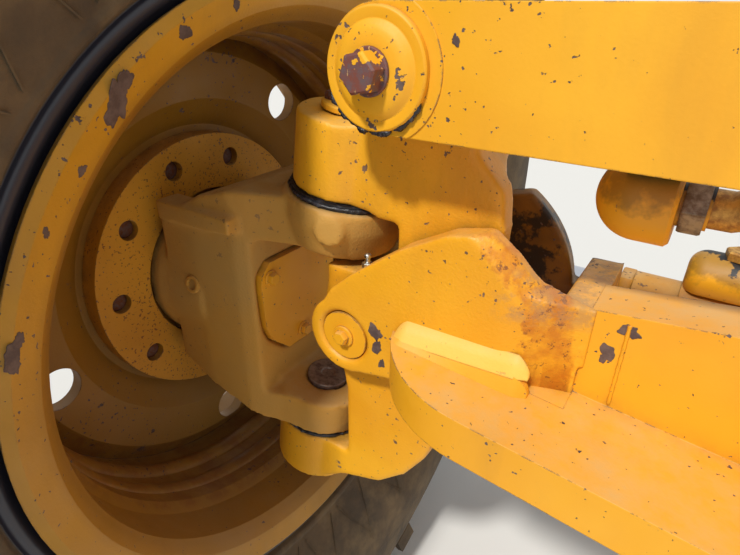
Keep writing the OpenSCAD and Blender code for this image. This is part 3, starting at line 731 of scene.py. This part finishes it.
def nipple(name, base, body):
    """A grease nipple that stands up: hexagon, neck and ball."""
    neck = [(0, 0), (0, 3.6), (1, 2.4), (3.6, 2.2), (4.6, 2.9), (6, 3.3), (7.6, 2.9), (8.6, 1.8), (9, 0)]
    parts = [turned_solid([(-1, 5.2), (4, 5.2), (4.6, 4.4)], base, UP, 6),
             turned_solid(neck, base + Vector(UP) * 4.4 * MM, UP, 24)]
    add_mesh(name, *merged(parts), ZINC, body, "steel")


def grease_lumps(name, centre, radius, span, seed, body, count=9):
    """Old grease squeezed out in clumps along part of a round seam that faces forward."""
    draw = random.Random(seed)
    pieces = 12
    parts = []
    for i in range(count):
        first = span[0] + (span[1] - span[0]) * (i + draw.uniform(-0.4, 0.1)) / count
        wide = (span[1] - span[0]) / count * draw.uniform(1.0, 1.5)
        fat = draw.uniform(1.2, 2.4)
        points, sizes = [], []
        for k in range(pieces + 1):
            t = k / pieces
            a = first + wide * t
            r = radius + draw.uniform(-0.4, 0.8) + fat * 0.5 * math.sin(math.pi * t)
            points.append(centre + MM * r * Vector((math.cos(a), 0, math.sin(a))))
            sizes.append(0.6 + fat * math.sin(math.pi * t) ** 0.6 * draw.uniform(0.8, 1.15))
        parts.append(tube_solid(points, sizes, 8))
    add_mesh(name, *merged(parts), GREASE, body, "steel")


def lean_bar_details():
    """Stepped caps on the lean bar's pins, round bosses on its front, nipples and old grease."""
    top, boss_r, half = BAR_H + BAR_W / 2, 49, BAR_W / 2
    tail = BAR_FRONT - COLUMN_Y
    cap = [(tail, 0), (tail, 22), (-0.3, 22), (-0.3, 38.6), (1, 40), (4.6, 40), (6, 38.8), (6, 33.5),
           (5.6, 32.2), (6.2, 31), (8.4, 29), (10, 25.5), (10.8, 21), (11, 16), (11, 0)]
    reach = math.asin(half / boss_r)
    boss = [(BAR_X - boss_r * math.cos(t), BAR_H + boss_r * math.sin(t))
            for t in np.linspace(-reach, reach, 25)]
    boss += [(BAR_X + half * math.sin(t), BAR_H + half * math.cos(t)) for t in np.linspace(0, math.pi, 33)]
    low_side = (math.radians(205), math.radians(335))
    for side, end in SIDES:
        bracket = "bracket_" + end
        middle = at(BAR_X, BAR_FRONT, BAR_H, side)
        piece = turned(end + "_bar_pin_cap", cap, middle, FRONT, PLATE_PAINT, bracket, 96, "paint")
        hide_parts(end + "_bar_pin")
        block = block_solid(boss, BAR_FRONT - 0.9, BAR_FRONT + 1, side)
        add_mesh(end + "_bar_boss", *block, PLATE_PAINT, "lean_bar", "paint")
        for i, x in enumerate((BAR_X - 14, BAR_X - 58)):
            nipple(f"{end}_bar_nipple_{i}", at(x, BAR_FRONT + 20, top, side), "lean_bar")
        seam = at(BAR_X, BAR_FRONT - 3, BAR_H, side)
        grease_lumps(end + "_cap_grease", seam, 39.5, low_side, 11, bracket)


def kingpin_point(along, around, radius, side):
    """A point round the kingpin: height along it, angle from outboard towards the front, and radius."""
    x = radius * math.cos(around)
    tilt = KINGPIN_TILT
    return at(KINGPIN_X + x * math.cos(tilt) - along * math.sin(tilt), -radius * math.sin(around),
              x * math.sin(tilt) + along * math.cos(tilt), side)


def kingpin_seams():
    """Greasy washers between the knuckle's bosses and the bracket's, and the kingpins' two ends."""
    foot = [(0, 0), (0, 25.6), (1.6, 25.6), (2.6, 24.4), (2.6, 9), (0.8, 7.5), (0.8, 0)]
    lid = [(-1, 0), (-1, 34), (3, 34), (4.5, 32.5), (4.5, 0)]
    angles = np.linspace(-2.6, 2.8, 120)
    for side, end in SIDES:
        bracket, knuckle = "bracket_" + end, "knuckle_" + end
        axis = Vector((-side * math.sin(KINGPIN_TILT), 0, math.cos(KINGPIN_TILT)))
        for where, low, high, radius in (("upper", 142.6, 149.4, 58), ("lower", -161.4, -154.6, 53)):
            centre = kingpin_point(low, 0, 0, side)
            outline = [(0, 0), (0, radius), (high - low, radius), (high - low, 0)]
            turned(f"{end}_{where}_seam", outline, centre, axis, GREASE, knuckle, 64)
            draw = random.Random(31)
            points = []
            for a in angles:
                r = radius + 0.4 + draw.uniform(-0.5, 0.5)
                points.append(kingpin_point((low + high) / 2, a, r, side))
            sizes = [1.5 + draw.uniform(-0.5, 1.0) for _ in angles]
            swept(f"{end}_{where}_grease", points, sizes, GREASE, knuckle, 8)
        turned(end + "_kingpin_end", foot, kingpin_point(-105, 0, 0, side), axis, STEEL, bracket)
        top = kingpin_point(224, 0, 0, side)
        turned(end + "_kingpin_top", lid, top, axis, CAST_PAINT, bracket, slot="paint")
        for i in range(3):
            bolt = kingpin_point(228, math.radians(30 + 120 * i), 24, side)
            hex_head(f"{end}_kingpin_bolt_{i}", bolt, axis, 13, 7, RUSTY, bracket)


def fasteners():
    """Bolts and nuts of the pins and covers, the ears' nipples and the knuckles' plugs."""
    cover_x, cover_bolts = 964, ((-48, 40), (48, 40), (0, -50))
    plug = [(-4, 0), (-4, 10.5), (1.4, 10.5), (2.6, 9), (2.6, 6.4), (-2.5, 5.2), (-2.5, 0)]
    socket = [(-2.6, 0), (-2.6, 4.6), (-1.9, 4.6), (-1.9, 0)]
    for side, end in SIDES:
        bracket, knuckle = "bracket_" + end, "knuckle_" + end
        cap_bolt = at(BAR_X, BAR_FRONT - 11, BAR_H, side)
        hex_head(end + "_cap_bolt", cap_bolt, FRONT, 25, 13, BOLT, bracket, 16)
        pin_bolt = at(LEAN_X, -EAR_OUT + 2, LEAN_H, side)
        hex_head(end + "_lean_pin_bolt", pin_bolt, FRONT, 13, 6, PLATE_PAINT, "axle", 11, "paint")
        pin_nut = at(LEAN_X, EAR_OUT, LEAN_H, side)
        hex_head(end + "_lean_pin_nut", pin_nut, (0, 1, 0), 32, 14, RUSTY, "axle", 27)
        nipple(end + "_ear_nipple", at(827, -61, 98, side), "axle")
        for i, (y, h) in enumerate(cover_bolts):
            hex_head(f"{end}_cover_bolt_{i}", at(cover_x, y, h, side), (-side, 0, 0), 13, 6, PLATE_PAINT,
                     knuckle, 9, "paint")
        place, normal = at(1050, -86, 22, side), Vector((-side * 0.07, -0.97, 0.23))
        turned(end + "_plug", plug, place, normal, KNUCKLE_PAINT, knuckle, 32)
        # Painted shade: a thin black hexagon low in the plug's recess stands for its dark socket
        turned(end + "_plug_socket_shade", socket, place, normal, GREASE, knuckle, 6)


def wheel_bolts():
    """Studs in the hub's holes with nuts and washers outside the disc, and bolts in the hub's cap."""
    inner, outer, stud_r = HUB_FACE + 7, HUB_FACE + 41, HUB_HOLE_R - 0.8
    length, cap_x, cap_circle = outer - inner + 33, HUB_FACE + 141, 45
    stud = [(0, 0), (0, 8), (1.5, stud_r), (length - 2, stud_r), (length, 8), (length, 0)]
    washer = [(-3, 0), (-3, 22), (-0.6, 22), (0, 21), (0, 0)]
    for side, end in SIDES:
        outward, wheel = (side, 0, 0), "wheel_" + end
        studs, nuts = [], []
        for i in range(HUB_HOLES):
            a = 2 * math.pi * i / HUB_HOLES
            y, h = -HUB_CIRCLE * math.cos(a), -HUB_CIRCLE * math.sin(a)
            seat = at(outer + 3, y, h, side)
            studs.append(turned_solid(stud, at(inner, y, h, side), outward, 24))
            nuts.append(turned_solid(washer, seat, outward, 32))
            nuts.append(turned_solid(hex_outline(33, 20), seat, outward, 6, a))
        add_mesh(end + "_wheel_studs", *merged(studs), RUSTY, wheel, "steel")
        add_mesh(end + "_wheel_nuts", *merged(nuts), RUSTY, wheel, "steel")
        for i in range(4):
            a = math.radians(45 + 90 * i)
            bolt = at(cap_x, cap_circle * math.cos(a), cap_circle * math.sin(a), side)
            hex_head(f"{end}_hub_cap_bolt_{i}", bolt, (-side, 0, 0), 13, 1.5, RUSTY, wheel)


def rim_ridges():
    """Two rounded ridges pressed into each rim's barrel."""
    for side, end in SIDES:
        parts = []
        for middle, half, high in ((156, 13, 8.5), (114, 11, 5.5)):
            section = [(middle + half * math.cos(t), BARREL_R + 0.6 - high * math.sin(t))
                       for t in np.linspace(0, math.pi, 13)]
            section += [(middle - half, BARREL_R + 2), (middle + half, BARREL_R + 2)]
            ring = ring_solid(lambda angle: section, at(RIM_IN, 0, 0, side), (side, 0, 0), 120)
            parts.append(ring)
        add_mesh(end + "_rim_ridges", *merged(parts), RIM_PAINT, "wheel_" + end, "paint")


def tyre_section():
    """Closed outline of the tyre: (offset from the middle plane, radius), with its corners eased."""
    w, tread = TYRE_W / 2, TYRE_R - LUG_H
    half = [(92, RIM_SEAT_R + 0.4, 0), (115, RIM_SEAT_R + 0.4, 4), (122, 331, 3), (127, 336, 3),
            (131, 340, 3), (131, 346, 3), (127, 348.6, 1), (128, 350.6, 1), (133.4, 352.5, 2), (136, 357, 3),
            (135.4, 361, 2), (w, 460, 50), (w, 530, 60), (w - 22, tread - 20, 40), (w - 95, tread - 2, 20)]
    other = [(-a, r, ease) for a, r, ease in reversed(half)]
    inner = [(40 - w, 450, 30), (62 - w, tread - 52, 30), (w - 62, tread - 52, 30), (w - 40, 450, 30)]
    return rounded(half + other + inner)


def lug_top(x, w):
    """Radius of a lug's top at an offset from the tyre's middle plane."""
    places = [-20, w - 80, w - 26, w - 7]
    return float(np.interp(x, places, [TYRE_R, TYRE_R - 5, TYRE_R - 18, TYRE_R - 52]))


def lug_solid(centre, side, mirrored, turn):
    """One slanted tread block, with eased top edges."""
    w, tread = TYRE_W / 2, TYRE_R - LUG_H
    stations = (-12, -6, 8, 40, 75, w - 80, w - 55, w - 36, w - 26, w - 20, w - 14, w - 9.5, w - 7.6)
    vertices = []
    for x in stations:
        low = float(np.interp(x, [-12, 8, w], [-22, -46, 20]))
        high = float(np.interp(x, [-12, w], [2, 62]))
        top = lug_top(x, w)
        bottom = float(np.interp(x, [w - 60, w - 16, w - 7], [tread - 30, tread - 62, TYRE_R - 52]))
        ease = min(3.5, (top - bottom) / 3)
        ring = ((low, bottom), (high, bottom), (high, top - ease), (high - ease, top), (low + ease, top),
                (low, top - ease))
        for y, r in ring:
            across = y * math.cos(turn) - r * math.sin(turn)
            up = y * math.sin(turn) + r * math.cos(turn)
            vertices.append(centre + Vector((side * mirrored * x, across, up)) * MM)
    return vertices, stitched(len(ring), len(stations))


def tyres():
    """Round carcass and tread blocks in place of each tyre's plain solid."""
    section = tyre_section()
    for side, end in SIDES:
        centre, wheel = at(HALF_TRACK, 0, 0, side), "wheel_" + end
        ring = ring_solid(lambda angle: section, centre, (side, 0, 0), 160)
        carcass = add_mesh(end + "_tyre_carcass", *ring, RUBBER, wheel, "tyre")
        blocks = []
        for half in (0, 1):
            for i in range(LUG_COUNT):
                turn = math.radians((i + half / 2) * 360 / LUG_COUNT)
                blocks.append(lug_solid(centre, side, half * 2 - 1, turn))
        tread = add_mesh(end + "_tyre_tread", *merged(blocks), TREAD_RUBBER, wheel, "tyre")
        for piece in (carcass, tread):
            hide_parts(end + "_tyre")
        sidewall_lines(side, end, centre, wheel)


def sidewall_lines(side, end, centre, wheel):
    """Thin moulded lines that cross on both sidewalls."""
    inner_r, outer_r, inner_offset, lean_by, count = 366, 450, 124, 0.085, 32
    slope = TYRE_W / 2 - inner_offset
    parts = []
    for face in (-1, 1):
        for lean in (-lean_by, lean_by):
            for i in range(count):
                first = 2 * math.pi * i / count + (0.04 if lean > 0 else 0)
                points = []
                for t in np.linspace(0, 1, 7):
                    r = inner_r + (outer_r - inner_r) * t
                    offset = inner_offset + (r - RIM_LIP_R) * slope / 125 - 1.2 * t ** 3
                    a = first + lean * t
                    place = (side * face * offset, r * math.cos(a), r * math.sin(a))
                    points.append(centre + Vector(place) * MM)
                parts.append(tube_solid(points, 0.9, 4))
    add_mesh(end + "_sidewall_lines", *merged(parts), TREAD_RUBBER, wheel, "tyre")


def valve_fittings():
    """The lock valve with its nut and bent adapter. The hose to the machine is left off."""
    y, h, radius, length = -22, 192, 30, 52
    end_x, far_x, plate_h, back = 606, 640, 214, BAR_FRONT + 40
    flat_end, outward = at(end_x, y, h, LEFT), (LEFT, 0, 0)
    dome = [(length - radius + radius * math.sin(t), radius * math.cos(t))
            for t in np.linspace(0, math.pi / 2, 14)]

    def bracket(tall, y2):
        outline = [(end_x, plate_h), (far_x, plate_h), (far_x, plate_h + tall), (end_x, plate_h + tall)]
        return block_solid(outline, back, y2, LEFT)

    parts = [turned_solid([(0, 0), (0, 27.5), (2.5, radius)] + dome, flat_end, outward, 72),
             bracket(9, y), bracket(62, back + 8),
             turned_solid([(-18, 0), (-18, 15), (0.5, 15), (0.5, 0)], flat_end, outward, 36)]
    piece = add_mesh("lean_lock_valve_body", *merged(parts), VALVE_PAINT, "lean_bar", "paint")
    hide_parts("lean_lock_valve")
    hex_ring("valve_nut", at(end_x - 2, y, h, LEFT), (1, 0, 0), 33, 14, 14, GREY_NUT, "lean_bar")
    elbow = [at(*p, LEFT) for p in ((591, y, h), (576, y, h), (566, y - 3, h + 5), (548, y - 12, h + 20))]
    swept("valve_elbow", elbow, 13, BRASSY, "lean_bar", 24)
    tip, ahead = elbow[-1], (elbow[-1] - elbow[-2]).normalized()
    hex_head("valve_elbow_nut", tip, ahead, 30, 15, BRASSY, "lean_bar")
    flare = [(14, 0), (14, 11), (22, 10), (24, 8), (24, 0)]
    turned("valve_flare", flare, tip, ahead, GREY_NUT, "lean_bar", 24)
    grease_lumps("valve_grease", at(630, y - 22, h + 21, LEFT), 7, (0, math.pi), 5, "lean_bar", 4)


def cylinder_fittings():
    """Glands, port blocks and elbows of the steering cylinders, boots and collars on the arms' balls."""
    block_x, block_y, block_h, block_r, length, ease = 520, ARM_Y - 6, LEAN_H + 46, 26, 70, 16
    block = [(0, 0), (0, block_r - 3), (3, block_r)]
    block += [(length - ease + ease * math.sin(t), block_r - ease + ease * math.cos(t))
              for t in np.linspace(0, math.pi / 2, 9)]
    block.append((length, 0))
    seat = at(0, 0, LEAN_H + 32.5).z
    port_x = 262
    bends = ((0, 44), (0, 58), (3, 64), (10, 67), (28, 67))
    low, high = TIE_H + 18, -85
    boot = [(0, 0), (0, 15), (1.5, 17), (4, 18), (6.5, 16), (9, 18), (11.5, 17), (14, 15.5), (17, 15),
            (high - low, 14), (high - low, 0)]
    collar = [(0, 0), (0, 19), (8, 19), (10, 17), (10, 0)]
    for side, end in SIDES:
        knuckle = "knuckle_" + end
        gland = at(BALL_X - 275, ARM_Y, LEAN_H, side)
        hex_ring(end + "_steer_gland", gland, (side, 0, 0), 52, 18.6, 14, BROWN_PAINT, "axle", "paint")
        points, faces = turned_solid(block, at(block_x, block_y, block_h, side), (side, 0, 0), 64)
        points = [Vector((p.x, p.y, max(p.z, seat))) for p in points]
        add_mesh(end + "_steer_port_block", points, faces, VALVE_PAINT, "axle", "paint")
        plug = at(block_x + 30, block_y, block_h + block_r - 2, side)
        hex_head(end + "_steer_block_plug", plug, UP, 24, 9, BRASSY, "axle")
        port = at(port_x, ARM_Y, LEAN_H + 35, side)
        hex_head(end + "_steer_port_0", port, UP, 26, 12, GREY_NUT, "axle")
        elbow = [at(port_x - inboard, ARM_Y, LEAN_H + h, side) for inboard, h in bends]
        swept(end + "_steer_elbow_0", elbow, 7.5, BRASSY, "axle", 20)
        nut = at(port_x - 22, ARM_Y, LEAN_H + 67, side)
        hex_head(end + "_steer_elbow_nut_0", nut, (-side, 0, 0), 20, 12, GREY_NUT, "axle")
        turned(end + "_tie_boot", boot, at(TIE_X, ARM_Y, low, side), UP, BOOT_RUBBER, knuckle, 36, "tyre")
        turned(end + "_ball_collar", collar, at(BALL_X, ARM_Y, -54, side), UP, RUSTY, knuckle, 36)


def worn_patches():
    """The larger places where the paint is gone at the photographed end."""
    ear, web, bar = -EAR_OUT - 0.1, -48.1, BAR_FRONT - 0.1
    # Name, place, size, seed, height over width and body of each patch
    patches = (("ear_patch_a", (808, ear, 41), 8, 3, 1.2, "axle"),
               ("ear_patch_b", (806, ear, 26), 5, 8, 2.0, "axle"),
               ("ear_patch_c", (802, ear, 8), 3.5, 9, 1.8, "axle"),
               ("web_patch_a", (611, web, 103), 8, 4, 0.8, "axle"),
               ("web_patch_b", (624, web, 78), 7, 5, 1.2, "axle"),
               ("bar_patch_a", (744, bar, 287), 3, 6, 1.3, "lean_bar"))
    for name, place, size, seed, tall, body in patches:
        flake(name, at(*place, LEFT), FRONT, size, seed, body, tall)
    # Angle in degrees, radius, x, size and height over width of each chip on the rim's lip
    lip_chips = ((49.9, 315, 934.5, 11, 1.6), (52.8, 322, 932, 6, 2.2), (63.7, 319, 933, 7, 1.0),
                 (41.6, 314, 935, 4, 1.2), (18.0, 325, 931, 8, 1.6), (20.5, 322, 932, 5, 1.4),
                 (10.0, 318, 934, 4, 1.8), (74.0, 316, 934, 4, 1.4), (33.0, 320, 933, 3.5, 1.3),
                 (27.0, 315, 935, 3, 1.6))
    lip_tilt, first_seed = 0.94, 40
    inward = math.sqrt(1 - lip_tilt ** 2)
    for i, (angle, radius, x, size, tall) in enumerate(lip_chips):
        a = math.radians(angle)
        place = at(x, -radius * math.cos(a), radius * math.sin(a), LEFT)
        normal = Vector((lip_tilt, inward * math.cos(a), -inward * math.sin(a)))
        flake(f"lip_chip_{i}", place + normal * 0.3 * MM, normal, size, first_seed + i, "wheel_left", tall)
    arm_end, outboard = at(851, -24, 118, LEFT), Vector((0.93, -0.36, -0.1))
    flake("arm_end_patch", arm_end, outboard, 10, 71, "knuckle_left", 1.6, BARE_METAL)


def studio():
    """Pale floor, soft light from a pale sky, and a sun above the front."""
    floor_z, reach = (WHEEL_Z - TYRE_R) * MM, 12
    mesh = bpy.data.meshes.new("floor")
    corners = [(x * reach, y * reach, floor_z) for x, y in ((-1, -1), (1, -1), (1, 1), (-1, 1))]
    mesh.from_pydata(corners, [], [(0, 1, 2, 3)])
    floor = linked("floor", mesh)
    pale = Nodes("pale_floor")
    pale.output("Base Color", srgb(222, 220, 215))
    pale.output("Roughness", 0.9)
    mesh.materials.append(pale.material)

    world = bpy.data.worlds.new("studio")
    bpy.context.scene.world = world
    world.use_nodes = True
    tree = world.node_tree
    light, seen = tree.nodes["Background"], tree.nodes.new("ShaderNodeBackground")
    light.inputs["Color"].default_value = (0.90, 0.95, 1.0, 1)
    light.inputs["Strength"].default_value = 0.5
    seen.inputs["Color"].default_value = srgb(238, 238, 234)
    rays = tree.nodes.new("ShaderNodeLightPath")
    seen_ray = rays.outputs["Is Camera Ray"]
    for kind in ("Is Glossy Ray", "Is Transmission Ray"):
        larger = tree.nodes.new("ShaderNodeMath")
        larger.operation = "MAXIMUM"
        tree.links.new(seen_ray, larger.inputs[0])
        tree.links.new(rays.outputs[kind], larger.inputs[1])
        seen_ray = larger.outputs[0]
    choose = tree.nodes.new("ShaderNodeMixShader")
    for socket, source in zip(choose.inputs, (seen_ray, light.outputs[0], seen.outputs[0])):
        tree.links.new(source, socket)
    tree.links.new(choose.outputs[0], tree.nodes["World Output"].inputs["Surface"])

    sun = linked("key", bpy.data.lights.new("key", "SUN"))
    sun.data.energy = 2.95
    sun.data.angle = math.radians(5)
    sun.data.color = (1.0, 0.98, 0.94)
    from_point = Vector((0.015, -0.62, 0.785))
    sun.rotation_euler = (-from_point).to_track_quat("-Z", "Y").to_euler()
    bpy.context.scene.view_settings.view_transform = "Standard"


def camera():
    """The photograph's camera: place in mm, turn left, pitch down and roll in degrees, and lens."""
    place = at(-593, -406, 304)
    turn, pitch, roll = (math.radians(v) for v in (33.84, 27.49, -0.67))
    focal_px, width_px = 520, 740
    across = Vector((math.cos(turn), math.sin(turn), 0))
    ahead = Vector((-math.sin(turn), math.cos(turn), 0))
    up = Vector((0, 0, 1))
    forward = math.cos(pitch) * ahead - math.sin(pitch) * up
    down = -math.sin(pitch) * ahead - math.cos(pitch) * up
    right = math.cos(roll) * across + math.sin(roll) * down
    below = -math.sin(roll) * across + math.cos(roll) * down
    lens = bpy.data.cameras.new("camera")
    lens.sensor_width = 36
    lens.lens = lens.sensor_width * focal_px / width_px
    lens.clip_start = 0.01
    body = linked("camera", lens)
    turned_by = Matrix((right, -below, -forward)).transposed().to_4x4()
    body.matrix_world = Matrix.Translation(place) @ turned_by
    bpy.context.scene.camera = body


camera()
studio()
dress_frame()
castings()
weld_strips()
lean_bar_details()
kingpin_seams()
fasteners()
wheel_bolts()
rim_ridges()
tyres()
valve_fittings()
cylinder_fittings()
worn_patches()
